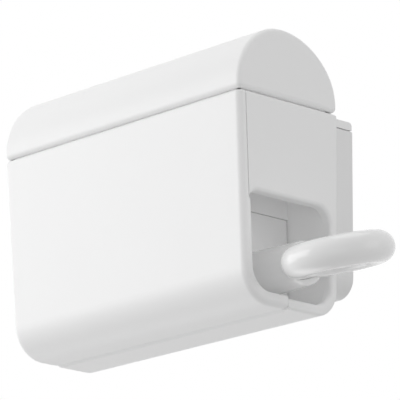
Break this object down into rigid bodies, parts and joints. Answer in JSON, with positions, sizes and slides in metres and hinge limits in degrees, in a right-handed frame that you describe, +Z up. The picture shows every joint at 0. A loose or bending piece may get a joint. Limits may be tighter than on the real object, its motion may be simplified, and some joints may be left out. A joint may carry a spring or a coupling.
{
  "type": "retractable clothes line",
  "caption": "Wall-hung case with a domed hinged hood, a hook-on wall bracket and a sprung line drum; a thick finger ring on a stem docks in the end pocket.",
  "frame": {"origin": "centre of the bracket's flat wall face", "axes": "+X along the case towards the finger ring, +Y into the wall, +Z up"},
  "size_m": [0.2207, 0.0768, 0.1338],
  "materials": {
    "bracket_plastic": "satin",
    "case_plastic": "satin",
    "hood_plastic": "satin",
    "handle_plastic": "gloss",
    "reel_plastic": "matte",
    "drum_plastic": "matte",
    "bearing_plastic": "satin",
    "line_plastic": "satin",
    "zinc_steel": "satin",
    "bright_steel": "polished",
    "spring_steel": "satin"
  },
  "bodies": {
    "bracket": {"wall_bracket": "bracket_plastic"},
    "case": {"rear_housing": "case_plastic", "front_cover": "case_plastic", "cover_screws": "zinc_steel", "reel_case_front": "reel_plastic", "reel_case_back": "reel_plastic", "reel_case_screws": "zinc_steel", "reel_mount_screws": "zinc_steel", "guide_plate": "reel_plastic", "line_guide": "bearing_plastic", "reel_axle": "bright_steel", "power_spring": "spring_steel"},
    "hood": {"hood": "hood_plastic", "hood_hinge_pins": "bright_steel"},
    "drum": {"line_drum": "drum_plastic", "drum_bushes": "bearing_plastic", "spring_cover": "drum_plastic", "wound_line": "line_plastic"},
    "line_end": {"line_lead": "line_plastic", "line_crimp": "zinc_steel"},
    "handle": {"pull_stem": "handle_plastic", "finger_ring": "handle_plastic"}
  },
  "joints": [
    {"name": "case_lift", "type": "slide", "parent": "bracket", "child": "case", "axis": [0, 0, 1], "range_m": [0, 0.006]},
    {"name": "hood_hinge", "type": "hinge", "parent": "case", "child": "hood", "pos_m": [0, -0.0145, 0.0488], "axis": [-1, 0, 0], "range_deg": [0, 55]},
    {"name": "drum_spin", "type": "hinge", "parent": "case", "child": "drum", "pos_m": [-0.03, -0.0428, 0], "axis": [0, -1, 0], "range_deg": [0, 720], "stiffness_Nm_per_rad": 0.0015, "springref_deg": -2291.83},
    {"name": "line_pull", "type": "slide", "parent": "case", "child": "line_end", "axis": [1, 0, 0], "range_m": [0, 0.42]},
    {"name": "handle_swivel", "type": "hinge", "parent": "line_end", "child": "handle", "pos_m": [0.1113, -0.0428, -0.0333], "axis": [1, 0, 0], "continuous": true}
  ],
  "couplings": [
    {"joint": "line_pull", "follows": "drum_spin", "m_per_rad": 0.0333}
  ]
}
